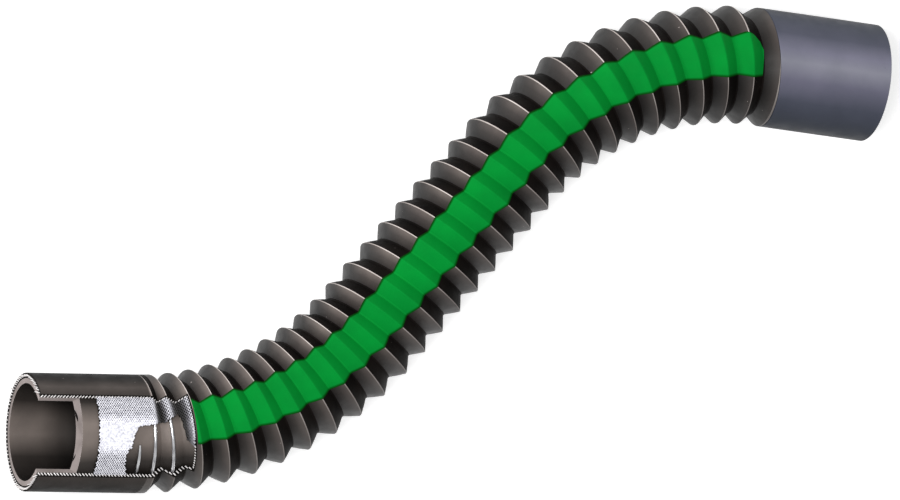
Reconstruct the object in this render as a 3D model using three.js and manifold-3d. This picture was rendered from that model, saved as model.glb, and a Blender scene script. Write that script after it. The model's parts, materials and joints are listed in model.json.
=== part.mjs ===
// Flexible wire-reinforced radiator coolant hose, lying flat in an S bend.
// Millimetres, +Z up. The hose lies on z = 0 with the middle of its bounding box over
// the origin, and its inlet cuff runs along +X. The inlet end is cut open to show the
// layers of the wall.
import * as THREE from 'three';
import { mergeVertices } from 'three/addons/utils/BufferGeometryUtils.js';
import Module from 'manifold-3d';

const wasm = await Module();
wasm.setup();

// Wall, from the bore outwards.
const boreDiameter = 44.5;
const tubeWall = 2.25;
const plyWall = 0.75;
const coverWall = 1.05;
const layerGap = 0.35;

// Corrugation: one right-handed ridge that winds along the hose. Each turn of it
// opens out a little more than the one before.
const ridgePitch = 11.76;
const ridgePitchGrowth = 0.0196;
const ridgeDepth = 4.4;
const leadInPitch = 7.2;
const firstRidgeStation = 59;
const ridgeTurns = 28;
const wallSides = 14;

// Steel wire, wound under the ridge.
const wireDiameter = 1.6;
const wireClearance = 0.3;
const wireHeadroom = 0.6;
const wireFreeEndTurn = -1.73;
const wireSides = 4;

// The tube necks down from each cuff to make room for the wire.
const neckStart = 29;
const neckLength = 8;
const outletNeckLength = 8;

// Route of the centreline, which lies in a level plane.
// The cuffs are straight: the first bend starts with the corrugation, and the
// second, which turns the other way, ends with it.
const firstBendRadius = 144;
const firstBendAngle = THREE.MathUtils.degToRad(49.6);
const middleStraight = 96.5;
const secondBendRadius = 137;
const outletCuffLength = 54;

// Cutaway at the inlet end. A tilt turns the middle of the window from the top towards -Y.
const windowHalfAngle = THREE.MathUtils.degToRad(44);
const windowTilt = THREE.MathUtils.degToRad(-1.5);
const tubeCutLength = 18.6;
const plyCutLength = 26.3;
const windowLength = 72.3;

// Hole torn in the ply inside the window: [station, distance across the window].
const tearOutline = [
  [42.5, -24], [42.3, -17.3], [40.6, -13.1], [39.7, -8.2], [41.8, -4.3], [42.9, 0.9],
  [44.9, 5], [56.2, 6.5], [58.9, 6.3], [61.2, 8.5], [66.4, 9.9], [67.8, 7.6],
  [68.7, 1.7], [69.3, -2], [windowLength, -5.7], [windowLength + 1, -24],
];

// Stripe along the cover.
const stripeHalfAngle = THREE.MathUtils.degToRad(23.3);
const stripeTilt = THREE.MathUtils.degToRad(-16);
const stripeThickness = 0.5;
const stripeClearance = 0.3;
const stripeEndTurn = 27.5;
const buttGap = 0.3;

// Radii of each layer where the wall is smooth.
const tubeInner = boreDiameter / 2;
const tubeOuter = tubeInner + tubeWall;
const plyInner = tubeOuter + layerGap;
const plyOuter = plyInner + plyWall;
const coverInner = plyOuter + layerGap;
const coverOuter = coverInner + coverWall;

// Under a ridge the wire stands between the tube and the ply.
const wireRadius = wireDiameter / 2;
const wirePathRadius = plyInner - wireHeadroom - wireRadius;
const tubeRidge = wirePathRadius - wireRadius - wireClearance;
const tubeDrop = tubeOuter - tubeRidge;
const tubeRidgeDepth = ridgeDepth - tubeDrop;

// Distance along the hose of the ridge line after a number of turns.
function ridgeStation(turns) {
  const pitch = turns < 0 ? leadInPitch : ridgePitch + ridgePitchGrowth * turns;
  return firstRidgeStation + pitch * turns;
}

// A valley runs midway between the ridge lines on its two sides.
function lineStation(turns, isValley) {
  if (!isValley) return ridgeStation(turns);
  return (ridgeStation(turns - 0.5) + ridgeStation(turns + 0.5)) / 2;
}

// The first valley deepens and the last one fades over part of a turn.
const valleyStart = -0.52;
const valleyDeepen = 0.22;
const valleyFade = 0.24;
function valleyStrength(turns) {
  const rise = THREE.MathUtils.smoothstep(turns, valleyStart, valleyStart + valleyDeepen);
  const fade = THREE.MathUtils.smoothstep(turns, ridgeTurns, ridgeTurns + valleyFade);
  return rise * (1 - fade);
}

// The corrugation starts at a square ring, and ends at a slightly slanted one
// that follows the last ridge.
const firstRing = ridgeStation(-1);
const corrugationEnd = ridgeStation(ridgeTurns + 0.25);
const lastRingSlant = corrugationEnd - ridgeStation(ridgeTurns);
function lastRing(angle) {
  return corrugationEnd - lastRingSlant * Math.cos(angle);
}
const totalLength = corrugationEnd + outletCuffLength;
const outletNeckStart = ridgeStation(ridgeTurns + 0.5) + buttGap;

// Rows of points of one surface of a corrugated layer, each as functions of the angle.
function corrugatedRows(radius, depth) {
  const rows = [];
  for (let half = -3; half <= 2 * ridgeTurns; half++) {
    const turn = half / 2;
    const isValley = half % 2 !== 0;
    const isLast = half === 2 * ridgeTurns;
    rows.push({
      station(angle) {
        if (half === -3 && angle < Math.PI) return firstRing;
        if (isLast) return lastRing(angle);
        const along = lineStation(turn + angle / (2 * Math.PI), isValley);
        return THREE.MathUtils.clamp(along, firstRing, lastRing(angle));
      },
      radius(angle) {
        const strength = isValley ? valleyStrength(turn + angle / (2 * Math.PI)) : 0;
        return radius - depth * strength;
      },
    });
  }
  rows.unshift(ring(firstRing, radius));
  return rows;
}

// A plain square ring of points.
function ring(station, radius) {
  return { station: () => station, radius: () => radius };
}

// A closed shell between outer rows and inner rows, standing straight along +X.
// The cross-section turns from +Y (angle 0) over +Z to -Y. Both surfaces split
// their panels along the same diagonal, so that nested layers stay parallel.
function shellGeometry(outerRows, innerRows) {
  const profile = [...outerRows, ...innerRows.slice().reverse()];
  const positions = [];
  const triangles = [];
  for (let side = 0; side <= wallSides; side++) {
    const angle = (side % wallSides) / wallSides * 2 * Math.PI;
    const sweep = side / wallSides * 2 * Math.PI;
    for (const row of profile) {
      const radius = row.radius(sweep);
      positions.push(row.station(sweep), radius * Math.cos(angle), radius * Math.sin(angle));
    }
  }
  for (let side = 0; side < wallSides; side++) {
    for (let row = 0; row < profile.length; row++) {
      const next = (row + 1) % profile.length;
      const here = side * profile.length;
      const beside = here + profile.length;
      const [a, b, c, d] = [here + row, here + next, beside + next, beside + row];
      if (row < outerRows.length - 1) triangles.push(a, d, b, b, d, c);
      else triangles.push(a, d, c, a, c, b);
    }
  }
  const geometry = new THREE.BufferGeometry();
  geometry.setAttribute('position', new THREE.Float32BufferAttribute(positions, 3));
  geometry.setIndex(triangles);
  return geometry;
}

// Merges shared points and drops the triangles that have closed up.
function weld(geometry) {
  geometry.deleteAttribute('normal');
  geometry.deleteAttribute('uv');
  const merged = mergeVertices(geometry, 1e-3);
  const kept = [];
  const index = merged.index.array;
  for (let i = 0; i < index.length; i += 3) {
    const [a, b, c] = [index[i], index[i + 1], index[i + 2]];
    if (a !== b && b !== c && c !== a) kept.push(a, b, c);
  }
  merged.setIndex(kept);
  return merged;
}

function toSolid(geometry) {
  const merged = weld(geometry);
  const vertProperties = Float32Array.from(merged.attributes.position.array);
  const triVerts = Uint32Array.from(merged.index.array);
  const mesh = new wasm.Mesh({ numProp: 3, vertProperties, triVerts });
  mesh.merge();
  return new wasm.Manifold(mesh);
}

function toGeometry(solid) {
  const mesh = solid.getMesh();
  const geometry = new THREE.BufferGeometry();
  geometry.setAttribute('position', new THREE.BufferAttribute(mesh.vertProperties, 3));
  geometry.setIndex(new THREE.BufferAttribute(mesh.triVerts, 1));
  return geometry;
}

// Centreline place and heading at a distance along the hose.
const firstBendLength = firstBendRadius * firstBendAngle;
const stretches = [
  { length: firstRing, curvature: 0 },
  { length: firstBendLength, curvature: 1 / firstBendRadius },
  { length: middleStraight, curvature: 0 },
  {
    length: corrugationEnd - firstRing - firstBendLength - middleStraight,
    curvature: -1 / secondBendRadius,
  },
  { length: Infinity, curvature: 0 },
];

function centreline(station) {
  let left = station;
  let x = 0;
  let y = 0;
  let heading = 0;
  for (const stretch of stretches) {
    const run = Math.min(left, stretch.length);
    const turn = run * stretch.curvature;
    const chord = turn === 0 ? run : 2 * Math.sin(turn / 2) / stretch.curvature;
    x += chord * Math.cos(heading + turn / 2);
    y += chord * Math.sin(heading + turn / 2);
    heading += turn;
    left -= run;
    if (left <= 0) break;
  }
  return { x, y, heading };
}

// Bends a straight solid onto the centreline.
function layOnRoute(geometry) {
  const position = geometry.attributes.position;
  for (let i = 0; i < position.count; i++) {
    const across = position.getY(i);
    const place = centreline(position.getX(i));
    const x = place.x - across * Math.sin(place.heading);
    const y = place.y + across * Math.cos(place.heading);
    position.setXYZ(i, x, y, position.getZ(i));
  }
  geometry.computeVertexNormals();
  return geometry;
}

// A wedge with its edge on the axis, centred tilt away from the top towards -Y.
const wedgeReach = 2 * coverOuter;
function wedgeSolid(halfAngle, tilt, from, to) {
  const middle = Math.PI / 2 + tilt;
  const corner = (angle) => new THREE.Vector2(wedgeReach * Math.cos(angle), wedgeReach * Math.sin(angle));
  const shape = new THREE.Shape([
    new THREE.Vector2(0, 0), corner(middle - halfAngle), corner(middle + halfAngle),
  ]);
  const geometry = new THREE.ExtrudeGeometry(shape, { depth: to - from, bevelEnabled: false });
  geometry.applyMatrix4(new THREE.Matrix4().makeBasis(
    new THREE.Vector3(0, 1, 0), new THREE.Vector3(0, 0, 1), new THREE.Vector3(1, 0, 0)));
  geometry.translate(from, 0, 0);
  return toSolid(geometry);
}

function windowCutter(length) {
  return wedgeSolid(windowHalfAngle, windowTilt, -1, length);
}

// The torn hole, cut straight down through the ply at the middle of the window.
function tearCutter() {
  const shape = new THREE.Shape(tearOutline.map(([s, w]) => new THREE.Vector2(s, w)));
  const geometry = new THREE.ExtrudeGeometry(shape, { depth: 2 * coverOuter, bevelEnabled: false });
  geometry.rotateX(windowTilt);
  return toSolid(geometry).intersect(windowCutter(windowLength));
}

function smoothShell(outerRadius, innerRadius, from, to) {
  return shellGeometry(
    [ring(from, outerRadius), ring(to, outerRadius)], [ring(from, innerRadius), ring(to, innerRadius)]);
}

function innerTubeSolid() {
  const rows = (smooth, depth) => [
    ring(0, smooth), ring(neckStart, smooth), ring(neckStart + neckLength, smooth - tubeDrop),
    ...corrugatedRows(smooth - tubeDrop, depth),
    ring(outletNeckStart, smooth - tubeDrop), ring(outletNeckStart + outletNeckLength, smooth),
    ring(totalLength, smooth),
  ];
  const shell = shellGeometry(rows(tubeOuter, tubeRidgeDepth), rows(tubeInner, tubeRidgeDepth));
  return toSolid(shell).subtract(windowCutter(tubeCutLength));
}

function fabricPlySolid() {
  const rows = (radius) => [
    ring(0, radius), ...corrugatedRows(radius, ridgeDepth), ring(totalLength, radius),
  ];
  return toSolid(shellGeometry(rows(plyOuter), rows(plyInner)))
    .subtract(windowCutter(plyCutLength))
    .subtract(tearCutter());
}

function outerCoverSolid() {
  const rows = (radius) => [ring(0, radius), ...corrugatedRows(radius, ridgeDepth)];
  return toSolid(shellGeometry(rows(coverOuter), rows(coverInner))).subtract(windowCutter(windowLength));
}

function greenStripeSolid() {
  const inner = coverOuter + stripeClearance;
  const rows = (radius) => [ring(0, radius), ...corrugatedRows(radius, ridgeDepth)];
  const skin = toSolid(shellGeometry(rows(inner + stripeThickness), rows(inner)));
  const middleTurn = (Math.PI / 2 + stripeTilt) / (2 * Math.PI);
  const end = lineStation(stripeEndTurn + middleTurn, false);
  return skin.intersect(wedgeSolid(stripeHalfAngle, stripeTilt, windowLength + buttGap, end));
}

function outletCuffSolid() {
  const start = (radius) => ({ station: (angle) => lastRing(angle) + buttGap, radius: () => radius });
  return toSolid(shellGeometry(
    [start(coverOuter), ring(totalLength, coverOuter)], [start(coverInner), ring(totalLength, coverInner)]));
}

// Straight helix that the wire follows, before the hose is bent.
class WirePath extends THREE.Curve {
  constructor(fromTurn, toTurn) {
    super();
    this.fromTurn = fromTurn;
    this.toTurn = toTurn;
  }

  getPoint(t, target = new THREE.Vector3()) {
    const turns = this.fromTurn + t * (this.toTurn - this.fromTurn);
    const angle = turns * 2 * Math.PI;
    return target.set(
      ridgeStation(turns), wirePathRadius * Math.cos(angle), wirePathRadius * Math.sin(angle));
  }

  // Equal steps of angle keep the wire in line with the sides of the wall.
  getPointAt(t, target) {
    return this.getPoint(t, target);
  }
}

function wireHelixSolid() {
  const step = 1 / wallSides;
  const fromTurn = Math.round(wireFreeEndTurn / step) * step;
  const path = new WirePath(fromTurn, ridgeTurns);
  const section = new THREE.Shape();
  for (let side = 0; side < wireSides; side++) {
    const angle = (side + 0.5) / wireSides * 2 * Math.PI;
    const [u, v] = [wireRadius * Math.cos(angle), wireRadius * Math.sin(angle)];
    if (side === 0) section.moveTo(u, v);
    else section.lineTo(u, v);
  }
  const steps = Math.round((ridgeTurns - fromTurn) / step);
  return toSolid(new THREE.ExtrudeGeometry(section, { steps, extrudePath: path, bevelEnabled: false }));
}

const hose = new THREE.Group();

function addPiece(name, solid, colour, roughness, metalness) {
  const material = new THREE.MeshStandardMaterial({ color: colour, roughness, metalness });
  const mesh = new THREE.Mesh(layOnRoute(toGeometry(solid)), material);
  mesh.name = name;
  hose.add(mesh);
}

addPiece('inner_tube', innerTubeSolid(), 0x3a3632, 0.6, 0);
addPiece('wire_helix', wireHelixSolid(), 0xd8d8dc, 0.3, 1);
addPiece('fabric_ply', fabricPlySolid(), 0xe8e8ee, 0.9, 0);
addPiece('outer_cover', outerCoverSolid(), 0x2a2623, 0.55, 0);
addPiece('green_stripe', greenStripeSolid(), 0x009336, 0.6, 0);
addPiece('outlet_cuff', outletCuffSolid(), 0x4a4c55, 0.5, 0);

// Stand the bottom of the bounding box on the origin.
const box = new THREE.Box3().setFromObject(hose);
const middle = box.getCenter(new THREE.Vector3());
hose.position.set(-middle.x, -middle.y, -box.min.z);

export default hose;
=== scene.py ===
import json
import math

import bmesh
import bpy
import numpy as np
from mathutils import Matrix, Vector


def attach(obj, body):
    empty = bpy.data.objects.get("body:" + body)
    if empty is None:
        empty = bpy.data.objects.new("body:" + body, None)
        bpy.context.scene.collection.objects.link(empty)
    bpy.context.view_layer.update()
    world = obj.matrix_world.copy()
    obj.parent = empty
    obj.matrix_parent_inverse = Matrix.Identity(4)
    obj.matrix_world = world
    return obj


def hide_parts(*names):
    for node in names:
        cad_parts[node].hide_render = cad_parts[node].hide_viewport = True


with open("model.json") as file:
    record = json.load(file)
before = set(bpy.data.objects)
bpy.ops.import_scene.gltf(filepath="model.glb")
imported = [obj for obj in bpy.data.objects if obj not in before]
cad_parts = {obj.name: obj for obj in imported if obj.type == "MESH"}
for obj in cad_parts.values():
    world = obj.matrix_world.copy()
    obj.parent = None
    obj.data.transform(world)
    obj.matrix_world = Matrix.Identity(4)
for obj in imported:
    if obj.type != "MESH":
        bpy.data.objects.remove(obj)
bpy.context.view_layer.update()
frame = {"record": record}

# The hose in millimetres. It is built straight, cut, and bent onto its route.
MM = 0.001
TURN = 2 * math.pi

# Radii of the round wall: the frame's wall has flat sides, so the round one lies
# midway between their middles and their corners.
ROUND = 0.9875
TUBE_IN = 22.25 * ROUND
TUBE_OUT = 24.5 * ROUND
PLY_IN = 24.85 * ROUND
PLY_OUT = 25.6 * ROUND
COVER_IN = 25.95 * ROUND
COVER_OUT = 27.0 * ROUND
TUBE_DROP = 2.15

RIDGE_PITCH, PITCH_GROWTH = 11.76, 0.0196
RIDGE_DEPTH = 4.4
LEAD_IN_PITCH = 7.2
FIRST_RIDGE = 59
TURNS = 28
VALLEY_START, VALLEY_DEEPEN, VALLEY_FADE = -0.52, 0.22, 0.24

WIRE_RADIUS = 0.8
WIRE_PATH = 23.45 * ROUND
WIRE_FREE_END = -1.73

NECK_START, NECK_LENGTH = 29.0, 8.0

FIRST_BEND_RADIUS = 144.0
FIRST_BEND_ANGLE = math.radians(49.6)
MIDDLE_STRAIGHT = 96.5
SECOND_BEND_RADIUS = 137.0
OUTLET_CUFF = 54.0

WINDOW_HALF = math.radians(44)
WINDOW_MIDDLE = math.radians(90 - 1.5)
TUBE_CUT, PLY_CUT, WINDOW_END = 18.6, 26.3, 72.3
TEAR = [
    (42.5, -24), (42.3, -17.3), (40.6, -13.1), (39.7, -8.2), (41.8, -4.3), (42.9, 0.9),
    (44.9, 5), (56.2, 6.5), (58.9, 6.3), (61.2, 8.5), (66.4, 9.9), (67.8, 7.6),
    (68.7, 1.7), (69.3, -2), (WINDOW_END, -5.7), (WINDOW_END + 1, -24),
]

STRIPE_HALF = math.radians(23.3)
STRIPE_MIDDLE = math.radians(90 - 16)
STRIPE_LIFT, STRIPE_THICK = 0.05, 0.45
STRIPE_END_TURN = 27.5
BUTT_GAP = 0.3


def ridge_station(turns):
    """Distance along the hose of the ridge line after a number of turns."""
    turns = np.asarray(turns, float)
    pitch = np.where(turns < 0, LEAD_IN_PITCH, RIDGE_PITCH + PITCH_GROWTH * turns)
    return FIRST_RIDGE + pitch * turns


def valley_station(turns):
    return (ridge_station(turns - 0.5) + ridge_station(turns + 0.5)) / 2


FIRST_RING = float(ridge_station(-1))
CORRUGATION_END = float(ridge_station(TURNS + 0.25))
TOTAL = CORRUGATION_END + OUTLET_CUFF
OUTLET_NECK = float(ridge_station(TURNS + 0.5)) + BUTT_GAP


def last_ring(angle):
    return CORRUGATION_END - (CORRUGATION_END - float(ridge_station(TURNS))) * np.cos(angle)


def smoothstep(x, low, high):
    t = np.clip((x - low) / (high - low), 0, 1)
    return t * t * (3 - 2 * t)


def valley_strength(turns):
    rise = smoothstep(turns, VALLEY_START, VALLEY_START + VALLEY_DEEPEN)
    return rise * (1 - smoothstep(turns, TURNS, TURNS + VALLEY_FADE))


# Where the route starts: the middle of the inlet rim.
inlet = next(m for m in frame["record"]["mounts"] if m["name"] == "inlet_rim")
INLET = np.array([inlet["pos_m"][0] / MM, inlet["pos_m"][1] / MM, COVER_OUT])

# The route as stretches of length and curvature. The last one has no end.
FIRST_BEND_LENGTH = FIRST_BEND_RADIUS * FIRST_BEND_ANGLE
SECOND_BEND_LENGTH = CORRUGATION_END - FIRST_RING - FIRST_BEND_LENGTH - MIDDLE_STRAIGHT
ENDLESS = 1e6
STRETCHES = [
    (FIRST_RING, 0.0),
    (FIRST_BEND_LENGTH, 1 / FIRST_BEND_RADIUS),
    (MIDDLE_STRAIGHT, 0.0),
    (SECOND_BEND_LENGTH, -1 / SECOND_BEND_RADIUS),
    (ENDLESS, 0.0),
]


def centreline(station):
    """x, y and heading of the centreline at each distance along the hose.

    A distance below zero, before the rim, runs back along the first stretch.
    """
    left = np.asarray(station, float).copy()
    x, y, heading = np.zeros_like(left), np.zeros_like(left), np.zeros_like(left)
    for number, (length, curvature) in enumerate(STRETCHES):
        run = np.minimum(left, length) if number == 0 else np.clip(left, 0, length)
        turn = run * curvature
        chord = run if curvature == 0 else 2 * np.sin(turn / 2) / curvature
        x += chord * np.cos(heading + turn / 2)
        y += chord * np.sin(heading + turn / 2)
        heading += turn
        left = left - run
    return x, y, heading


def bend(points):
    """Points of the straight hose (along, across, up) in millimetres, on the route, in metres."""
    points = np.asarray(points, float)
    x, y, heading = centreline(points[:, 0])
    x = x - points[:, 1] * np.sin(heading)
    y = y + points[:, 1] * np.cos(heading)
    return (np.column_stack([x, y, points[:, 2]]) + INLET) * MM


def make_mesh(name, vertices, faces, materials=None):
    mesh = bpy.data.meshes.new(name)
    mesh.from_pydata([tuple(v) for v in vertices], [], faces)
    if materials is not None:
        mesh.polygons.foreach_set("material_index", materials)
    mesh.update()
    obj = bpy.data.objects.new(name, mesh)
    bpy.context.scene.collection.objects.link(obj)
    return obj


# Rows of points along the wall: the station and the radius as functions of the angle, and a
# material index. The profile gives the rows of one turn: how far through it, and how deep.
RIDGE_BAND = 0.018
VALLEY_BAND = 0.03
FIRST_TURN = -2
PROFILE = [
    (RIDGE_BAND, 0.0), (0.25, 0.5), (0.5 - VALLEY_BAND, 1.0),
    (0.5 + VALLEY_BAND, 1.0), (0.75, 0.5), (1.0 - RIDGE_BAND, 0.0),
]
# Face indices for the painted highlight before each ridge and the painted shade after it.
HIGHLIGHT_FACE, SHADED_FACE = 1, 3


def plain_ring(station, radius, face=0):
    return (lambda angle: np.full_like(angle, station), lambda angle: np.full_like(angle, radius), face)


def corrugated_rows(radius, depth):
    """Rows that follow the ridge from the first ring to the last, as the frame's do.

    The face after a ridge takes the painted-shade material, and the narrow face before one a pale painted
    highlight along the ridge.
    """
    rows = [plain_ring(FIRST_RING, radius)]
    for turn in range(FIRST_TURN, TURNS):
        for phase, drop in PROFILE:
            def station(angle, turn=turn, phase=phase):
                turns = turn + angle / TURN
                ridge, after = ridge_station(turns), ridge_station(turns + 1)
                valley = valley_station(turns + 0.5)
                share = phase * 2 if phase < 0.5 else phase * 2 - 1
                low, high = (ridge, valley) if phase < 0.5 else (valley, after)
                return np.clip(low + (high - low) * share, FIRST_RING, last_ring(angle))

            def surface(angle, turn=turn, drop=drop):
                return radius - depth * drop * valley_strength(turn + 0.5 + angle / TURN)

            face = HIGHLIGHT_FACE if phase > 0.9 else SHADED_FACE if phase < 0.5 else 0
            rows.append((station, surface, face))
    rows.append((last_ring, lambda angle: np.full_like(angle, radius), 0))
    return rows


WELD_DISTANCE, SLIVER_DISTANCE = 2e-3, 1e-4


def shell(name, outer, inner, sides):
    """A closed straight shell between outer and inner rows."""
    profile = outer + inner[::-1]
    angles = np.arange(sides + 1) / sides * TURN
    columns = np.zeros((sides + 1, len(profile), 3))
    for i, (station, radius, _) in enumerate(profile):
        r = radius(angles)
        columns[:, i, 0] = station(angles)
        columns[:, i, 1] = r * np.cos(angles % TURN)
        columns[:, i, 2] = r * np.sin(angles % TURN)
    count = len(profile)
    faces, materials = [], []
    for side in range(sides):
        for i in range(count):
            j = (i + 1) % count
            a, b = side * count + i, side * count + j
            faces.append((a, a + count, b + count, b))
            materials.append(profile[i][2] if i < len(outer) - 1 else 0)
    obj = make_mesh(name, columns.reshape(-1, 3), faces, materials)
    bm = bmesh.new()
    bm.from_mesh(obj.data)
    bmesh.ops.remove_doubles(bm, verts=bm.verts, dist=WELD_DISTANCE)
    bmesh.ops.dissolve_degenerate(bm, dist=SLIVER_DISTANCE, edges=bm.edges)
    bmesh.ops.recalc_face_normals(bm, faces=bm.faces)
    bm.to_mesh(obj.data)
    bm.free()
    return obj


def prism(name, outline, low, high, place):
    """A closed prism of an outline. place turns (u, v, w) into hose coordinates."""
    count = len(outline)
    vertices = [place(u, v, low) for u, v in outline] + [place(u, v, high) for u, v in outline]
    faces = [tuple(range(count))[::-1], tuple(range(count, 2 * count))]
    faces += [(i, (i + 1) % count, (i + 1) % count + count, i + count) for i in range(count)]
    obj = make_mesh(name, vertices, faces)
    bm = bmesh.new()
    bm.from_mesh(obj.data)
    bmesh.ops.recalc_face_normals(bm, faces=bm.faces)
    bm.to_mesh(obj.data)
    bm.free()
    return obj


def wedge(middle, half, start, end):
    """A cutter that spans an angle either side of the middle, from start to end along the hose."""
    reach = 3 * COVER_OUT
    corners = [(0, 0)]
    corners += [(reach * math.cos(middle + half * k), reach * math.sin(middle + half * k)) for k in (-1, 1)]
    return prism("cutter", corners, start, end, lambda u, v, w: (w, u, v))


def boolean(obj, cutter, operation="DIFFERENCE"):
    modifier = obj.modifiers.new("cut", "BOOLEAN")
    modifier.object = cutter
    modifier.operation = operation
    modifier.solver = "MANIFOLD"
    apply_modifiers(obj)
    bpy.data.objects.remove(cutter)


def apply_modifiers(obj):
    graph = bpy.context.evaluated_depsgraph_get()
    mesh = bpy.data.meshes.new_from_object(obj.evaluated_get(graph))
    obj.modifiers.clear()
    old = obj.data
    obj.data = mesh
    bpy.data.meshes.remove(old)


CUT_FACE_DOT = 0.45


def clear_indices(obj):
    for face in obj.data.polygons:
        face.material_index = 0


def mark_cut_faces(obj, cut_index):
    """Faces that don't look outwards or inwards are cut faces."""
    for face in obj.data.polygons:
        centre = Vector((0, face.center.y, face.center.z)).normalized()
        if abs(face.normal.dot(centre)) < CUT_FACE_DOT:
            face.material_index = cut_index


def bevel_cut_edges(obj, cut_index, width, edge_index):
    """A narrow chamfer along every edge between a cut face and the skin."""
    bm = bmesh.new()
    bm.from_mesh(obj.data)
    edges = [
        e for e in bm.edges
        if len(e.link_faces) == 2
        and (e.link_faces[0].material_index == cut_index) != (e.link_faces[1].material_index == cut_index)
    ]
    bmesh.ops.bevel(bm, geom=edges, offset=width, segments=1, affect="EDGES", material=edge_index,
                    clamp_overlap=True)
    bm.to_mesh(obj.data)
    bm.free()


SHARP_ANGLE, BAR_SHARP_ANGLE = 28, 60


def lay_on_route(obj, sharp=SHARP_ANGLE):
    """Store each point's place on the straight hose, for the materials, and bend the piece."""
    mesh = obj.data
    points = np.zeros(len(mesh.vertices) * 3)
    mesh.vertices.foreach_get("co", points)
    straight = points.reshape(-1, 3)
    along = mesh.attributes.new("along", "FLOAT", "POINT")
    along.data.foreach_set("value", straight[:, 0] * MM)
    girth = mesh.attributes.new("girth", "FLOAT", "POINT")
    girth.data.foreach_set("value", np.arctan2(straight[:, 2], straight[:, 1]))
    radial = mesh.attributes.new("radial", "FLOAT", "POINT")
    radial.data.foreach_set("value", np.hypot(straight[:, 1], straight[:, 2]))
    mesh.vertices.foreach_set("co", bend(straight).ravel())
    mesh.shade_smooth()
    mesh.set_sharp_from_angle(angle=math.radians(sharp))
    mesh.update()


# Materials. The scales are those of noise textures in metres.
MOTTLE_SCALE, SPECK_SCALE, GLOSS_SCALE, STREAK_SCALE = 60, 650, 200, 700
FIBRE_SCALE, FIBRE_GRAIN_SCALE = 900, 4000
GLOSS_SPREAD = 0.06
SPECK_EDGE = 0.03
RUBBER_RELIEF, YARN_RELIEF = 0.0003, 0.0002
YARN_ROUGHNESS = 0.8


def material(name, roughness, metallic=0.0):
    made = bpy.data.materials.new(name)
    made.use_nodes = True
    nodes = made.node_tree.nodes
    shader = nodes["Principled BSDF"]
    shader.inputs["Roughness"].default_value = roughness
    shader.inputs["Metallic"].default_value = metallic
    return made, nodes, made.node_tree.links, shader


def colour(text):
    """A hex sRGB colour as linear RGBA."""
    values = [int(text[i:i + 2], 16) / 255 for i in (0, 2, 4)]
    return [v / 12.92 if v <= 0.04045 else ((v + 0.055) / 1.055) ** 2.4 for v in values] + [1]


def noise(nodes, links, scale, detail=4.0, stretch=(1, 1, 1)):
    coordinates = nodes.new("ShaderNodeTexCoord")
    mapping = nodes.new("ShaderNodeMapping")
    mapping.inputs["Scale"].default_value = stretch
    texture = nodes.new("ShaderNodeTexNoise")
    texture.inputs["Scale"].default_value = scale
    texture.inputs["Detail"].default_value = detail
    links.new(coordinates.outputs["Object"], mapping.inputs["Vector"])
    links.new(mapping.outputs["Vector"], texture.inputs["Vector"])
    return texture


def ramp(nodes, links, source, stops):
    made = nodes.new("ShaderNodeValToRGB")
    elements = made.color_ramp.elements
    while len(elements) < len(stops):
        elements.new(0.5)
    for element, (place, value) in zip(elements, stops):
        element.position = place
        element.color = colour(value) if isinstance(value, str) else (value, value, value, 1)
    links.new(source, made.inputs["Fac"])
    return made


def bump(nodes, links, shader, source, strength, distance):
    made = nodes.new("ShaderNodeBump")
    made.inputs["Strength"].default_value = strength
    made.inputs["Distance"].default_value = distance
    links.new(source, made.inputs["Height"])
    links.new(made.outputs["Normal"], shader.inputs["Normal"])


def attribute_ramp(nodes, links, attribute, low, high, stops):
    """A colour ramp along a stored attribute, with the stops in the attribute's own unit."""
    source = nodes.new("ShaderNodeAttribute")
    source.attribute_name = attribute
    spread = nodes.new("ShaderNodeMapRange")
    spread.inputs["From Min"].default_value = low
    spread.inputs["From Max"].default_value = high
    links.new(source.outputs["Fac"], spread.inputs["Value"])
    places = [((place - low) / (high - low), value) for place, value in stops]
    return ramp(nodes, links, spread.outputs["Result"], places)


def girth_ramp(nodes, links, stops):
    """Colours round the hose, by angle in degrees from the +Y side over the top."""
    return attribute_ramp(nodes, links, "girth", -math.pi, math.pi, [(math.radians(a), c) for a, c in stops])


def multiply(nodes, links, first, second):
    mix = nodes.new("ShaderNodeMix")
    mix.data_type = "RGBA"
    mix.blend_type = "MULTIPLY"
    mix.inputs["Factor"].default_value = 1
    links.new(first, mix.inputs["A"])
    links.new(second, mix.inputs["B"])
    return mix.outputs["Result"]


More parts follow.
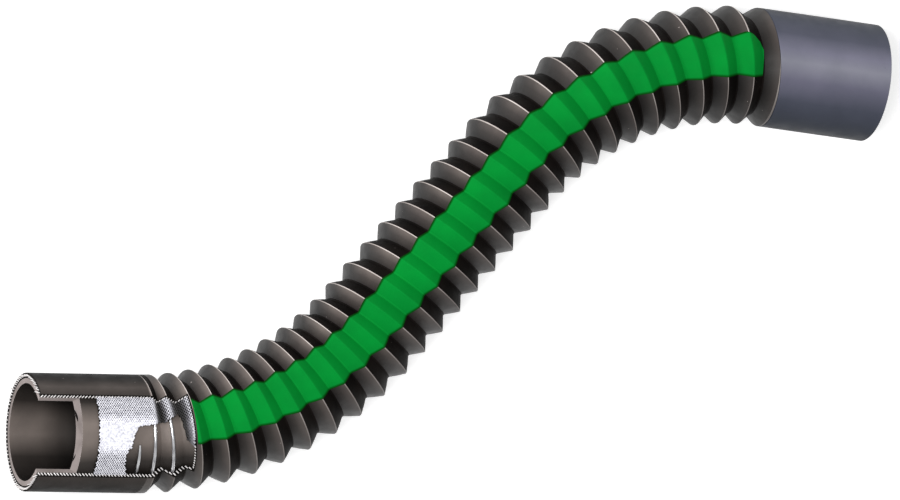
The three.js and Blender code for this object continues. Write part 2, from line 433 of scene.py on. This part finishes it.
def rubber(name, dark, light, roughness=0.5, specks=None, speck_cut=0.77, grain=2500, strength=0.12,
           shine=0.3, around=None, rise=None, along=None):
    """Moulded rubber: mottled colour, a fine grain and a few pale specks.

    around paints light and shade round the hose, rise paints shade that deepens into the valleys, and along
    paints shade down its length.
    """
    made, nodes, links, shader = material(name, roughness)
    shader.inputs["Specular IOR Level"].default_value = shine
    mottle = ramp(nodes, links, noise(nodes, links, MOTTLE_SCALE).outputs["Fac"],
                  [(0.35, dark), (0.7, light)])
    base = mottle.outputs["Color"]
    # Painted light and shade round the hose.
    if around:
        base = multiply(nodes, links, base, girth_ramp(nodes, links, around).outputs["Color"])
    # Painted shade, darkest in the valleys and lifting to the ridges.
    if rise:
        crest = attribute_ramp(nodes, links, "radial", COVER_OUT - RIDGE_DEPTH, COVER_OUT, rise)
        base = multiply(nodes, links, base, crest.outputs["Color"])
    # Painted shade that changes down the hose's length.
    if along:
        run = attribute_ramp(nodes, links, "along", 0, TOTAL * MM, [(place * MM, c) for place, c in along])
        base = multiply(nodes, links, base, run.outputs["Color"])
    if specks:
        dots = ramp(nodes, links, noise(nodes, links, SPECK_SCALE, 2.0).outputs["Fac"],
                    [(speck_cut, 0.0), (speck_cut + SPECK_EDGE, 1.0)])
        mix = nodes.new("ShaderNodeMix")
        mix.data_type = "RGBA"
        mix.inputs["B"].default_value = colour(specks)
        links.new(dots.outputs["Color"], mix.inputs["Factor"])
        links.new(base, mix.inputs["A"])
        base = mix.outputs["Result"]
    links.new(base, shader.inputs["Base Color"])
    rough = ramp(nodes, links, noise(nodes, links, GLOSS_SCALE).outputs["Fac"],
                 [(0.3, roughness - GLOSS_SPREAD), (0.7, roughness + GLOSS_SPREAD)])
    links.new(rough.outputs["Color"], shader.inputs["Roughness"])
    bump(nodes, links, shader, noise(nodes, links, grain).outputs["Fac"], strength, RUBBER_RELIEF)
    return made


def yarn_material(name, dark, light, shaded=False):
    """Twisted textile yarn; where shaded, darkened down in the valleys as painted shade."""
    made, nodes, links, shader = material(name, YARN_ROUGHNESS)
    fibre = ramp(nodes, links, noise(nodes, links, FIBRE_SCALE, 3.0).outputs["Fac"],
                 [(0.3, dark), (0.6, light)])
    base = fibre.outputs["Color"]
    if shaded:
        # Painted shade: the yarn darkens down into the valleys of the corrugation.
        valley_shade = attribute_ramp(nodes, links, "radial", PLY_OUT - RIDGE_DEPTH, PLY_OUT, [
            (PLY_OUT - 2.9, "1c1a19"), (PLY_OUT - 1.7, "807e80"), (PLY_OUT - 0.6, "ffffff")])
        base = multiply(nodes, links, base, valley_shade.outputs["Color"])
    links.new(base, shader.inputs["Base Color"])
    shader.inputs["Sheen Weight"].default_value = 0.3
    bump(nodes, links, shader, noise(nodes, links, FIBRE_GRAIN_SCALE).outputs["Fac"], 0.3, YARN_RELIEF)
    return made


# Painted light and shade round the hose: each surface's colour is lightened over the side that faces the
# lamps, as a painted highlight, and darkened towards its sides, as painted shade. Angles in degrees, with
# the factor on its colour.
VALLEY, RIDGE = COVER_OUT - RIDGE_DEPTH, COVER_OUT
# Painted light on the cover's flanks: brightest over the upper side, painted shade towards the sides.
FLANK_PAINTED_LIGHT = [
    (-90, "8a8a8a"), (-20, "3c3c3c"), (6, "606060"), (22, "d0d0d0"), (38, "ffffff"),
    (60, "e6e6e6"), (95, "bcbcbc"), (125, "a8a8a8"), (148, "7c7c7c"), (172, "484848"),
]
# Painted light on the plain cover ring at the inlet: a painted highlight over the upper side, painted shade
# at its sides.
PLAIN_PAINTED_LIGHT = [
    (-90, "a0a0a0"), (-10, "1c1c1c"), (12, "2c2c2c"), (22, "8c8c8c"), (34, "ffffff"),
    (46, "c8c8c8"), (120, "d8d8d8"), (138, "b8b8b8"), (156, "585858"), (172, "1c1c1c"),
]
# Painted highlights on the inner tube's skin, over the top and underneath, with painted shade between.
TUBE_PAINTED_LIGHT = [
    (-165, "303030"), (-120, "8a8a8a"), (-92, "ffffff"), (-70, "a8a8a8"), (-35, "3c3c3c"), (20, "2c2c2c"),
    (50, "606060"), (74, "ffffff"), (94, "f0f0f0"), (118, "707070"), (150, "2c2c2c"),
]
# A painted highlight on the lower inside of the bore, with painted shade elsewhere.
BORE_PAINTED_LIGHT = [
    (-170, "282828"), (-125, "707070"), (-98, "f4f4f4"), (-80, "e0e0e0"), (-55, "707070"),
    (-20, "2c2c2c"), (90, "404040"), (150, "303030"),
]
# A painted highlight band along the outlet cuff's upper side, with painted shade towards its sides.
CUFF_PAINTED_LIGHT = [
    (-90, "7c8086"), (-15, "3c4148"), (8, "5c636b"), (28, "888e96"), (48, "a4a7b0"), (66, "e8e6f0"),
    (78, "ffffff"), (96, "c4c2ce"), (118, "8a8f98"), (145, "5c646d"), (172, "3c4249"),
]
# The painted highlight lines on ridges and cut edges, brightest over the upper side.
EDGE_PAINTED_LIGHT = [
    (-90, "808080"), (0, "b0b0b0"), (25, "ffffff"), (60, "ffffff"), (100, "b8b8b8"), (165, "6a6a6a"),
]
# The lit copy of the cover rubber, for the flanks before the ridges: painted light round the hose, painted
# shade in the valleys and painted shade darkening towards the outlet end. cover_shade is its near-black
# painted-shade copy for the flanks after the ridges.
COVER = rubber("cover_rubber", "655b57", "7a706a", 0.5, specks="a89e9a", shine=0.25,
               around=FLANK_PAINTED_LIGHT,
               rise=[(VALLEY, "686868"), (VALLEY + 2.2, "a0a0a0"), (RIDGE, "ffffff")],
               along=[(60, "f4f4f4"), (190, "f0f0f0"), (290, "c8c8c8"), (380, "a4a4a4"), (405, "b4b4b4")])
COVER_PLAIN = rubber("cover_plain", "3f3a37", "4c4643", 0.6, specks="8f8783", shine=0.06,
                     around=PLAIN_PAINTED_LIGHT)
COVER_SHADE = rubber("cover_shade", "0b0908", "171311", 0.6, specks="4a4440", shine=0.03)
COVER_CUT = rubber("cover_cut", "0f0d0c", "1d1a18", 0.8, shine=0.05)
# A painted highlight: a pale line on the narrow faces before the ridges and on the chamfers of the cover's
# cut edges.
RIDGE_HIGHLIGHT = rubber("painted_ridge_highlight", "aaa09b", "cdc4c0", 0.5, shine=0.2, around=EDGE_PAINTED_LIGHT)
# The inner tube's skin and bore, with painted highlights and painted shade round the hose; the bore also
# darkens as painted shade deeper in from the rim.
TUBE = rubber("tube_rubber", "6c635e", "7c726c", 0.45, shine=0.2, around=TUBE_PAINTED_LIGHT)
TUBE_BORE = rubber("tube_bore", "6c635e", "7c726c", 0.5, shine=0.15, around=BORE_PAINTED_LIGHT,
                   along=[(0, "ffffff"), (14, "f0f0f0"), (24, "8c8c8c"), (34, "404040")])
TUBE_CUT_FACE = rubber("tube_cut", "6f6764", "8b8280", 0.75, grain=1200, strength=0.3, shine=0.1)
# A painted highlight: a pale line on the chamfers along the tube's cut edges.
CUT_EDGE_HIGHLIGHT = rubber("painted_cut_edge_highlight", "c4bdba", "e6e1df", 0.5, shine=0.2)
BED = rubber("ply_bed", "0c0b0b", "1c1b1a", 0.9, shine=0.05)
BORDER_FROM, BORDER_TO = 1.2, 2.3
STRIPE_SIDES = [
    (math.degrees(STRIPE_MIDDLE - STRIPE_HALF) + BORDER_FROM, "007818"),
    (math.degrees(STRIPE_MIDDLE - STRIPE_HALF) + BORDER_TO, "ffffff"),
    (math.degrees(STRIPE_MIDDLE + STRIPE_HALF) - BORDER_TO, "ffffff"),
    (math.degrees(STRIPE_MIDDLE + STRIPE_HALF) - BORDER_FROM, "007818"),
]
STRIPE = rubber("stripe_green", "00782a", "00832e", 0.75, shine=0.05, around=STRIPE_SIDES)
STRIPE_SHADE = rubber("stripe_shade", "007a2a", "00832d", 0.75, shine=0.05, around=STRIPE_SIDES)
STRIPE_EDGE = rubber("stripe_edge", "002a0a", "003a10", 0.8, shine=0.05)
CUFF = rubber("cuff_rubber", "797a85", "83838f", 0.5, specks="5a5f68", shine=0.08,
              around=CUFF_PAINTED_LIGHT)
CUFF_CUT = rubber("cuff_cut", "2c2f37", "383b44", 0.7)
YARN = yarn_material("woven_yarn", "b6b6c0", "ececf4", shaded=True)
FRAY = yarn_material("frayed_yarn", "b5afae", "eeebea")


def wire_material():
    made, nodes, links, shader = material("drawn_wire", 0.28, 1.0)
    streak = ramp(nodes, links, noise(nodes, links, STREAK_SCALE, 3.0, (1, 0.2, 1)).outputs["Fac"],
                  [(0.3, "b9b9bd"), (0.65, "f4f4f6")])
    links.new(streak.outputs["Color"], shader.inputs["Base Color"])
    return made


WIRE = wire_material()


def finish_piece(obj, node, materials):
    """Give the piece its materials, in the order of its indices, and its place in the frame."""
    indices = [face.material_index for face in obj.data.polygons]
    obj.data.materials.clear()
    for entry in materials:
        obj.data.materials.append(entry)
    obj.data.polygons.foreach_set("material_index", indices)
    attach(obj, "root")
    if node:
        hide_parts(node)


# Inner tube. Its cut end slants, so that the bore's edge reaches nearer to the rim.
BEFORE_RIM = -5
TUBE_SIDES, PLY_SIDES, COVER_SIDES = 128, 96, 144
TUBE_END_SLANT = 2.4
SLANT_REACH, SLANT_TOLERANCE = 0.5, 0.01
RING_BEFORE_SLANT, RING_AFTER_CUT = 0.8, 0.6
TUBE_CHAMFER = 0.36
BORE_DOT = -0.5
TUBE_CUT_INDEX, CUT_HIGHLIGHT_INDEX, BORE_INDEX = 1, 2, 3


def tube_rows(smooth):
    low = smooth - TUBE_DROP * ROUND
    depth = RIDGE_DEPTH - TUBE_DROP
    return [
        plain_ring(0, smooth),
        plain_ring(TUBE_CUT - TUBE_END_SLANT - RING_BEFORE_SLANT, smooth),
        plain_ring(TUBE_CUT + RING_AFTER_CUT, smooth),
        plain_ring(NECK_START, smooth),
        plain_ring(NECK_START + NECK_LENGTH, low),
        *corrugated_rows(low, depth),
        plain_ring(OUTLET_NECK, low),
        plain_ring(OUTLET_NECK + NECK_LENGTH, smooth),
        plain_ring(TOTAL, smooth),
    ]


tube = shell("inner_tube_round", tube_rows(TUBE_OUT), tube_rows(TUBE_IN), TUBE_SIDES)
clear_indices(tube)
boolean(tube, wedge(WINDOW_MIDDLE, WINDOW_HALF, BEFORE_RIM, TUBE_CUT))
mark_cut_faces(tube, TUBE_CUT_INDEX)
for face in tube.data.polygons:
    outward = Vector((0, face.center.y, face.center.z)).normalized()
    if face.normal.dot(outward) < BORE_DOT:
        face.material_index = BORE_INDEX
# The chamfers on the tube's cut edges get a pale painted highlight.
bevel_cut_edges(tube, TUBE_CUT_INDEX, TUBE_CHAMFER, CUT_HIGHLIGHT_INDEX)
for vertex in tube.data.vertices:
    if 0 <= TUBE_CUT + SLANT_TOLERANCE - vertex.co.x < SLANT_REACH:
        radius = math.hypot(vertex.co.y, vertex.co.z)
        vertex.co.x -= TUBE_END_SLANT * (TUBE_OUT - radius) / (TUBE_OUT - TUBE_IN)
lay_on_route(tube)
finish_piece(tube, "inner_tube", [TUBE, TUBE_CUT_FACE, CUT_EDGE_HIGHLIGHT, TUBE_BORE])


# Wire helix, round, with a filed free end.
WIRE_STEPS, WIRE_SIDES = 64, 10
FILED_END = [0.55, 0.85, 0.97]


def tube_along(path, radii, sides):
    """Vertices and faces of a round bar along a polyline, in straight hose coordinates."""
    path = np.asarray(path, float)
    tangent = np.gradient(path, axis=0)
    tangent /= np.linalg.norm(tangent, axis=1)[:, None]
    outward = path * [0, 1, 1]
    outward /= np.linalg.norm(outward, axis=1)[:, None]
    side = np.cross(tangent, outward)
    side /= np.linalg.norm(side, axis=1)[:, None]
    outward = np.cross(side, tangent)
    angles = np.arange(sides) / sides * TURN
    ring = (np.cos(angles)[None, :, None] * outward[:, None] + np.sin(angles)[None, :, None] * side[:, None])
    vertices = (path[:, None] + ring * np.asarray(radii, float)[:, None, None]).reshape(-1, 3)
    faces = []
    for i in range(len(path) - 1):
        for j in range(sides):
            k = (j + 1) % sides
            faces.append((i * sides + j, i * sides + k, (i + 1) * sides + k, (i + 1) * sides + j))
    last = (len(path) - 1) * sides
    faces.append(tuple(range(sides))[::-1])
    faces.append(tuple(range(last, last + sides)))
    return vertices, faces


steps = int((TURNS - WIRE_FREE_END) * WIRE_STEPS)
turns = np.linspace(WIRE_FREE_END, TURNS, steps)
helix = np.column_stack([
    ridge_station(turns), WIRE_PATH * np.cos(turns * TURN), WIRE_PATH * np.sin(turns * TURN)])
radii = np.full(steps, WIRE_RADIUS)
radii[:len(FILED_END)] = WIRE_RADIUS * np.array(FILED_END)
vertices, faces = tube_along(helix, radii, WIRE_SIDES)
wire = make_mesh("wire_helix_round", vertices, faces)
lay_on_route(wire, BAR_SHARP_ANGLE)
finish_piece(wire, "wire_helix", [WIRE])


# Woven ply: a dark bed with white yarns crossing over it.
WINDOW_TURNS = range(FIRST_TURN, 4)
RANDOM_SEED = 7
TEAR_STEP, TEAR_JITTER = 0.7, 0.3


def ply_radius(station, angle):
    """Radius of the outside of the ply at any place, by interpolation between its rows."""
    phase = angle / TURN
    best = np.zeros_like(station)
    for turn in WINDOW_TURNS:
        low, middle = ridge_station(turn + phase), valley_station(turn + 0.5 + phase)
        high = ridge_station(turn + 1 + phase)
        falling, rising = (station - low) / (middle - low), (high - station) / (high - middle)
        drop = np.where(station < middle, falling, rising)
        inside = (station >= low) & (station <= high)
        best = np.where(inside, np.clip(drop, 0, 1) * valley_strength(turn + 0.5 + phase), best)
    return PLY_OUT - RIDGE_DEPTH * best


rng = np.random.default_rng(RANDOM_SEED)


def ragged(outline):
    """The outline with its edges broken up, as torn cloth is."""
    points = []
    for (u, v), (s, t) in zip(outline, outline[1:]):
        pieces = max(1, int(math.hypot(s - u, t - v) / TEAR_STEP))
        for k in range(pieces):
            share = k / pieces
            wobble = rng.uniform(-TEAR_JITTER, TEAR_JITTER, 2)
            points.append((u + (s - u) * share + wobble[0], v + (t - v) * share + wobble[1]))
    return points


def across_window(angle, radius):
    """Distance across the window of a place on the ply, towards the +Y side."""
    return radius * np.sin(WINDOW_MIDDLE - angle)


tear_points = ragged(TEAR[:-1]) + TEAR[-2:]


def in_tear(station, across):
    """True where a place lies in the torn hole."""
    inside = np.zeros(station.shape, bool)
    count = len(tear_points)
    for i in range(count):
        (x1, y1), (x2, y2) = tear_points[i], tear_points[(i + 1) % count]
        crosses = (y1 > across) != (y2 > across)
        with np.errstate(divide="ignore", invalid="ignore"):
            at = (x2 - x1) * (across - y1) / (y2 - y1) + x1
        inside ^= crosses & (station < at)
    return inside


def tilted(u, v, w, middle):
    """A place in a frame that is turned about the axis, so that w points at the middle angle."""
    tilt = middle - math.pi / 2
    return (u, v * math.cos(tilt) - w * math.sin(tilt), v * math.sin(tilt) + w * math.cos(tilt))


def ply_rows(radius):
    return [plain_ring(0, radius), *corrugated_rows(radius, RIDGE_DEPTH), plain_ring(TOTAL, radius)]


BED_OUT = PLY_OUT - 0.2
TEAR_LOW, CORNER_LOW, CUTTER_HIGH = 5, 10, 60
TEAR_MARGIN = 0.004
ply = shell("ply_bed", ply_rows(BED_OUT), ply_rows(PLY_IN), PLY_SIDES)
clear_indices(ply)
boolean(ply, wedge(WINDOW_MIDDLE, WINDOW_HALF, BEFORE_RIM, PLY_CUT))
hole = prism("hole", tear_points, TEAR_LOW, CUTTER_HIGH, lambda u, v, w: tilted(u, v, w, WINDOW_MIDDLE))
boolean(hole, wedge(WINDOW_MIDDLE, WINDOW_HALF - TEAR_MARGIN, BEFORE_RIM, WINDOW_END), "INTERSECT")
boolean(ply, hole)
lay_on_route(ply)
finish_piece(ply, "fabric_ply", [BED])

YARN_ANGLE = math.radians(56)
YARN_SPACING = 1.12
YARN_WIDE, YARN_NARROW = 0.47, 0.16
YARN_HALF_THICK = 0.13
YARN_STEP = 0.5
YARN_LIFT, YARN_WAVE = 0.02, 0.09
YARN_FRAY = (-0.25, 0.35)
YARN_END_GAP = 0.1
YARN_SPARE = 2
YARN_LEAST_POINTS = 3
CLOSED_MIDDLE = WINDOW_MIDDLE - math.radians(2)
CLOSED_HALF, OPEN_HALF = math.radians(6), math.radians(24)
YARN_SECTION = [(-1, 0), (-0.55, 0.9), (0.55, 0.9), (1, 0), (0.5, -0.8), (-0.5, -0.8)]


def yarn_width(angle):
    """Half the width of a yarn: the weave is closed in the middle of the window and open beside it."""
    open_weave = smoothstep(np.abs(angle - CLOSED_MIDDLE), CLOSED_HALF, OPEN_HALF)
    return YARN_WIDE - (YARN_WIDE - YARN_NARROW) * open_weave


def yarn_family(direction):
    """All the yarns of one direction in the open window, as one mesh in straight coordinates."""
    all_vertices, all_faces = [], []
    low, high = WINDOW_MIDDLE - WINDOW_HALF, WINDOW_MIDDLE + WINDOW_HALF
    width = (high - low) * PLY_OUT
    slope = 1 / math.tan(YARN_ANGLE)
    first, last = PLY_CUT - width * slope - YARN_SPARE, WINDOW_END + width * slope + YARN_SPARE
    starts = np.arange(first, last, YARN_SPACING)
    for number, start in enumerate(starts):
        girth = np.arange(0, width, YARN_STEP * math.sin(YARN_ANGLE))
        angle = low + girth / PLY_OUT
        station = start + direction * girth * slope + (0 if direction > 0 else width * slope)
        other = (station + direction * girth * slope) / YARN_SPACING
        radius = ply_radius(station, angle)
        wave = np.cos(math.pi * (other + number))
        height = radius + YARN_LIFT + YARN_WAVE * wave
        frayed = PLY_CUT + rng.uniform(*YARN_FRAY)
        keep = (station > frayed) & (station < WINDOW_END - YARN_END_GAP)
        keep &= ~in_tear(station, across_window(angle, radius))
        points = np.column_stack([station, height * np.cos(angle), height * np.sin(angle)])
        for run in runs_of(keep):
            if len(run) < YARN_LEAST_POINTS:
                continue
            vertices, faces = ribbon(points[run], yarn_width(angle[run]))
            offset = sum(len(v) for v in all_vertices)
            all_vertices.append(vertices)
            all_faces += [tuple(i + offset for i in f) for f in faces]
    return np.concatenate(all_vertices), all_faces


def runs_of(mask):
    """Index arrays of the unbroken runs of True."""
    runs, run = [], []
    for i, value in enumerate(mask):
        if value:
            run.append(i)
        elif run:
            runs.append(np.array(run))
            run = []
    if run:
        runs.append(np.array(run))
    return runs


def ribbon(path, half_width):
    """A flat yarn along a path: six points a section."""
    tangent = np.gradient(path, axis=0)
    tangent /= np.linalg.norm(tangent, axis=1)[:, None]
    outward = path * [0, 1, 1]
    outward /= np.linalg.norm(outward, axis=1)[:, None]
    side = np.cross(tangent, outward)
    side /= np.linalg.norm(side, axis=1)[:, None]
    across = side * half_width[:, None]
    rings = np.stack([path + across * a + outward * YARN_HALF_THICK * b for a, b in YARN_SECTION], axis=1)
    count = len(YARN_SECTION)
    faces = []
    for i in range(len(path) - 1):
        for j in range(count):
            k = (j + 1) % count
            faces.append((i * count + j, (i + 1) * count + j, (i + 1) * count + k, i * count + k))
    faces.append(tuple(range(count)))
    faces.append(tuple(range((len(path) - 1) * count, len(path) * count))[::-1])
    return rings.reshape(-1, 3), faces


for direction, name in ((1, "yarns_right_lay"), (-1, "yarns_left_lay")):
    vertices, faces = yarn_family(direction)
    yarns = make_mesh(name, vertices, faces)
    lay_on_route(yarns, BAR_SHARP_ANGLE)
    finish_piece(yarns, None, [YARN])


# Cut yarn ends along the edges of the window, and the frayed ends at the inlet rim.
STUB_TAPER = (1.0, 0.95, 0.6)
STUB_SIDES = 6


def stub(base, tip, radius, lift=0.0):
    """A short yarn end from base to tip, bent a little outwards."""
    base, tip = np.asarray(base, float), np.asarray(tip, float)
    middle = (base + tip) / 2
    outward = np.array([0, base[1], base[2]])
    outward /= np.linalg.norm(outward)
    path = np.array([base, middle + outward * lift, tip])
    direction = tip - base
    direction /= np.linalg.norm(direction)
    side = np.cross(direction, outward if abs(direction @ outward) < 0.9 else [1, 0, 0])
    side /= np.linalg.norm(side)
    other = np.cross(direction, side)
    sides = STUB_SIDES
    vertices = []
    for point, share in zip(path, STUB_TAPER):
        for k in range(sides):
            a = k / sides * TURN
            vertices.append(point + (side * math.cos(a) + other * math.sin(a)) * radius * share)
    faces = [
        (i * sides + k, i * sides + (k + 1) % sides, (i + 1) * sides + (k + 1) % sides, (i + 1) * sides + k)
        for i in range(2) for k in range(sides)]
    faces += [tuple(range(sides))[::-1], tuple(range(2 * sides, 3 * sides))]
    return vertices, faces


def join_stubs(stubs):
    vertices, faces = [], []
    for own_vertices, own_faces in stubs:
        offset = len(vertices)
        vertices += own_vertices
        faces += [tuple(i + offset for i in f) for f in own_faces]
    return np.array(vertices), faces


def polar(station, radius, angle):
    return np.array([station, radius * math.cos(angle), radius * math.sin(angle)])


def ply_outside(station, angle):
    return float(ply_radius(np.array([station]), np.array([angle]))[0])


STUB_PITCH, RIM_PITCH = 1.5, 1.8
STUB_RADIUS = 0.29
STUB_SINK, STUB_LEAN, STUB_JITTER = 0.1, 0.3, 0.12
FIRST_STUB = 0.8
SIDE_ROOT, SIDE_TIP = (-0.65, 0.05), (0.85, 0.2)
END_ROOT, END_TIP = (-0.1, -0.4), (-0.2, 0.45)
END_STUBS_FROM = math.radians(13)
STUB_MARGIN, FRAY_MARGIN = 0.02, 0.03
FRAY_LENGTH, FRAY_RISE = (1.2, 2.3), (0.2, 1.1)
FRAY_JITTER, FRAY_TURN, FRAY_ROOT = 0.01, 0.02, 0.3
FRAY_RADIUS, FRAY_BEND = STUB_RADIUS * 0.9, 0.1
stubs = []
for sign in (-1, 1):
    edge = WINDOW_MIDDLE + sign * WINDOW_HALF
    inward = -sign / PLY_OUT
    for station in np.arange(FIRST_STUB, WINDOW_END - STUB_LEAN, STUB_PITCH):
        station = station + rng.uniform(-STUB_JITTER, STUB_JITTER)
        radius = ply_outside(station, edge) - STUB_SINK
        root = polar(station - STUB_LEAN, radius + SIDE_ROOT[0], edge + inward * SIDE_ROOT[1])
        tip = polar(station + STUB_LEAN, radius + SIDE_TIP[0], edge + inward * SIDE_TIP[1])
        stubs.append(stub(root, tip, STUB_RADIUS))
last_stub = WINDOW_MIDDLE + WINDOW_HALF - STUB_MARGIN
for angle in np.arange(WINDOW_MIDDLE + END_STUBS_FROM, last_stub, STUB_PITCH / PLY_OUT):
    radius = ply_outside(WINDOW_END, angle) - STUB_SINK
    root = polar(WINDOW_END + END_ROOT[0], radius + END_ROOT[1], angle)
    tip = polar(WINDOW_END + END_TIP[0], radius + END_TIP[1], angle)
    stubs.append(stub(root, tip, STUB_RADIUS))
fray_from = WINDOW_MIDDLE + WINDOW_HALF + FRAY_MARGIN
fray_to = WINDOW_MIDDLE - WINDOW_HALF + TURN - STUB_MARGIN
for angle in np.arange(fray_from, fray_to, RIM_PITCH / PLY_OUT):
    angle = angle + rng.uniform(-FRAY_JITTER, FRAY_JITTER)
    length = rng.uniform(*FRAY_LENGTH)
    root = polar(FRAY_ROOT, PLY_OUT - FRAY_ROOT, angle)
    rise = rng.uniform(*FRAY_RISE)
    tip = polar(-length, PLY_OUT + rise, angle + rng.uniform(-FRAY_TURN, FRAY_TURN))
    stubs.append(stub(root, tip, FRAY_RADIUS, FRAY_BEND))
vertices, faces = join_stubs(stubs)
fray = make_mesh("cut_yarn_ends", vertices, faces)
lay_on_route(fray, BAR_SHARP_ANGLE)
finish_piece(fray, None, [FRAY])


# Outer cover.
COVER_CUT_INDEX, PLAIN_INDEX = 2, 4
COVER_CHAMFER = 0.22


def cover_rows(radius):
    return [plain_ring(0, radius, PLAIN_INDEX), *corrugated_rows(radius, RIDGE_DEPTH)]


cover = shell("outer_cover_round", cover_rows(COVER_OUT), cover_rows(COVER_IN), COVER_SIDES)
boolean(cover, wedge(WINDOW_MIDDLE, WINDOW_HALF, BEFORE_RIM, WINDOW_END))
mark_cut_faces(cover, COVER_CUT_INDEX)
# The chamfers on the cover's cut edges get the ridges' painted highlight.
bevel_cut_edges(cover, COVER_CUT_INDEX, COVER_CHAMFER, HIGHLIGHT_FACE)
lay_on_route(cover)
finish_piece(cover, "outer_cover", [COVER, RIDGE_HIGHLIGHT, COVER_CUT, COVER_SHADE, COVER_PLAIN])


# Green stripe. One corner of its outlet end is rounded off.
STRIPE_EDGE_INDEX, STRIPE_SHADE_INDEX = 1, 2
CORNER = [(-9, 14), (-9, 10.6), (-5, 9.4), (-1.6, 6.4), (0.5, 1.5), (2, 1.5), (2, 14)]


def stripe_rows(radius):
    return [plain_ring(0, radius), *corrugated_rows(radius, RIDGE_DEPTH)]


stripe_low = COVER_OUT + STRIPE_LIFT
stripe_high = stripe_low + STRIPE_THICK
stripe = shell("green_stripe_skin", stripe_rows(stripe_high), stripe_rows(stripe_low), COVER_SIDES)
for face in stripe.data.polygons:
    face.material_index = STRIPE_SHADE_INDEX if face.material_index == SHADED_FACE else 0
stripe_end = float(ridge_station(STRIPE_END_TURN + STRIPE_MIDDLE / TURN))
boolean(stripe, wedge(STRIPE_MIDDLE, STRIPE_HALF, WINDOW_END + BUTT_GAP, stripe_end), "INTERSECT")
corner = [(stripe_end + u, v) for u, v in CORNER]
corner_cutter = prism("corner", corner, CORNER_LOW, CUTTER_HIGH,
                      lambda u, v, w: tilted(u, v, w, STRIPE_MIDDLE))
boolean(stripe, corner_cutter)
mark_cut_faces(stripe, STRIPE_EDGE_INDEX)
lay_on_route(stripe)
finish_piece(stripe, "green_stripe", [STRIPE, STRIPE_EDGE, STRIPE_SHADE])


# Outlet cuff.
CUFF_CUT_INDEX = 1
CUFF_CHAMFER = 0.3
CUFF_RING = 8


def cuff_rows(radius):
    start = (lambda angle: last_ring(angle) + BUTT_GAP, lambda angle: np.full_like(angle, radius), 0)
    return [start, plain_ring(TOTAL - CUFF_RING, radius), plain_ring(TOTAL, radius)]


cuff = shell("outlet_cuff_round", cuff_rows(COVER_OUT), cuff_rows(COVER_IN), COVER_SIDES)
mark_cut_faces(cuff, CUFF_CUT_INDEX)
bevel_cut_edges(cuff, CUFF_CUT_INDEX, CUFF_CHAMFER, 0)
lay_on_route(cuff)
finish_piece(cuff, "outlet_cuff", [CUFF, CUFF_CUT])


# The covered part of the hose: points along its centreline route. The covered part of
# the hose, declared as a bare, stiff hose that keeps its shape.
COVER_LENGTH = TOTAL - OUTLET_CUFF
ROUTE_POINTS = 83
route_stations = np.linspace(0, COVER_LENGTH, ROUTE_POINTS)
route = bend(np.column_stack([route_stations, np.zeros(ROUTE_POINTS), np.zeros(ROUTE_POINTS)]))


# Floor, light and camera. The floor glows a little, for the picture's white ground.
FLOOR_SIZE, FLOOR_DROP = 30, 0.0005
FLOOR_ROUGHNESS, FLOOR_GLOW = 0.9, 0.45
FLOOR_COLOUR = (0.92, 0.92, 0.92, 1)
WHITE = (1, 1, 1, 1)
WORLD_STRENGTH = 0.55


def stage():
    floor_material, nodes, links, shader = material("pale_floor", FLOOR_ROUGHNESS)
    shader.inputs["Base Color"].default_value = FLOOR_COLOUR
    shader.inputs["Emission Color"].default_value = WHITE
    shader.inputs["Emission Strength"].default_value = FLOOR_GLOW
    bpy.ops.mesh.primitive_plane_add(size=FLOOR_SIZE, location=(0, 0, -FLOOR_DROP))
    floor = bpy.context.object
    floor.name = "floor"
    floor.data.materials.append(floor_material)


stage()

# The camera's axes, the picture's scale, the pixel that the aim falls on, and the distance in metres.
RIGHT = Vector((0.93625, 0.04936, 0.34786)).normalized()
FORWARD = Vector((0.35085, -0.07888, -0.9331)).normalized()
UP = RIGHT.cross(FORWARD).normalized()
PIXELS_PER_MM = 2.21698
PHOTO_CENTRE = (474.34, 240.71)
IMAGE = (900, 500)
DISTANCE = 9.0
AIM_FROM_INLET = Vector((210, 90, 0))
SENSOR_WIDTH = 36
CLIP_END = 100


def camera():
    data = bpy.data.cameras.new("camera")
    obj = bpy.data.objects.new("camera", data)
    bpy.context.scene.collection.objects.link(obj)
    aim = (Vector(INLET) + AIM_FROM_INLET) * MM
    aim += RIGHT * (IMAGE[0] / 2 - PHOTO_CENTRE[0]) / PIXELS_PER_MM * MM
    aim += UP * (PHOTO_CENTRE[1] - IMAGE[1] / 2) / PIXELS_PER_MM * MM
    obj.location = aim - FORWARD * DISTANCE
    turn = Matrix((RIGHT, UP, -FORWARD)).transposed()
    obj.rotation_euler = turn.to_euler()
    data.sensor_width = SENSOR_WIDTH
    data.lens = PIXELS_PER_MM / MM * DISTANCE * SENSOR_WIDTH / IMAGE[0]
    data.clip_end = CLIP_END
    bpy.context.scene.camera = obj


camera()


def area_light(name, direction, distance, size, power):
    data = bpy.data.lights.new(name, "AREA")
    data.shape = "DISK"
    data.size = size
    data.energy = power
    obj = bpy.data.objects.new(name, data)
    bpy.context.scene.collection.objects.link(obj)
    direction = direction.normalized()
    obj.location = direction * distance
    obj.rotation_euler = (-direction).to_track_quat("-Z", "Y").to_euler()


area_light("key", -FORWARD - RIGHT * 0.12, 2.2, 0.7, 34)
area_light("left", -FORWARD - RIGHT * 0.9 + UP * 0.25, 1.8, 0.5, 9)

world = bpy.data.worlds.new("studio")
world.use_nodes = True
world.node_tree.nodes["Background"].inputs["Color"].default_value = WHITE
world.node_tree.nodes["Background"].inputs["Strength"].default_value = WORLD_STRENGTH
bpy.context.scene.world = world
bpy.context.scene.view_settings.view_transform = "Standard"
